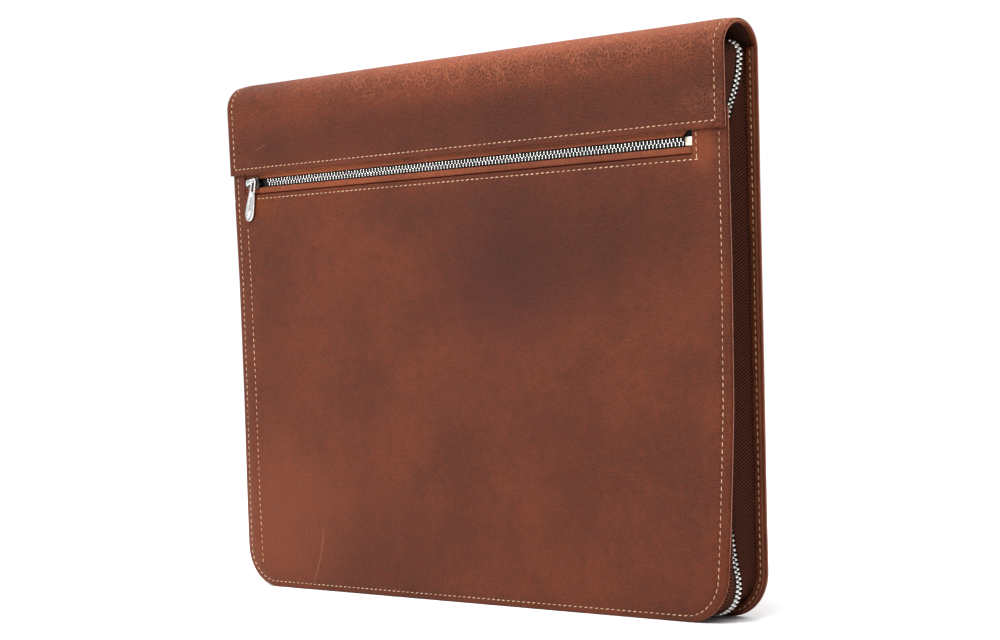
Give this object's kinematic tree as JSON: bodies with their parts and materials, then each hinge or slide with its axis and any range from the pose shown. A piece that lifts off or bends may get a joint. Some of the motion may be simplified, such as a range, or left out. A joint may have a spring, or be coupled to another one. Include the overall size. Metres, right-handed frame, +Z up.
{
  "type": "leather document case",
  "caption": "Upright zip-round leather document case with a rounded spine, a front band, a zipped front pocket and a hanging pull tab.",
  "frame": {"origin": "middle of the case's width and depth, on the surface that it stands on", "axes": "+X to the right along the width, -Y towards the front with the pocket, +Z up"},
  "size_m": [0.368, 0.0328, 0.296],
  "materials": {
    "leather": "grained semi-matte brown leather",
    "edge_leather": "smooth brown leather with cut edges",
    "twill_tape": "dark brown diagonal twill",
    "black_tape": "near-black woven tape",
    "silver_metal": "polished silver-coloured metal"
  },
  "bodies": {
    "case": {"outer_wrap": "leather", "front_panel": "leather", "back_facing": "edge_leather", "gusset_tape_front": "twill_tape", "gusset_tape_back": "twill_tape", "main_chain": "silver_metal", "main_slider": "silver_metal", "pocket_lip_upper": "edge_leather", "pocket_lip_lower": "edge_leather", "pocket_tape": "black_tape", "pocket_chain": "silver_metal", "pocket_end_stop": "silver_metal", "pocket_slider": "silver_metal"},
    "pull": {"pocket_pull": "silver_metal"}
  },
  "joints": [
    {"name": "pull_swing", "type": "hinge", "parent": "case", "child": "pull", "pos_m": [-0.1625, -0.0134, 0.2378], "axis": [0, 1, 0], "range_deg": [-80, 20]}
  ]
}
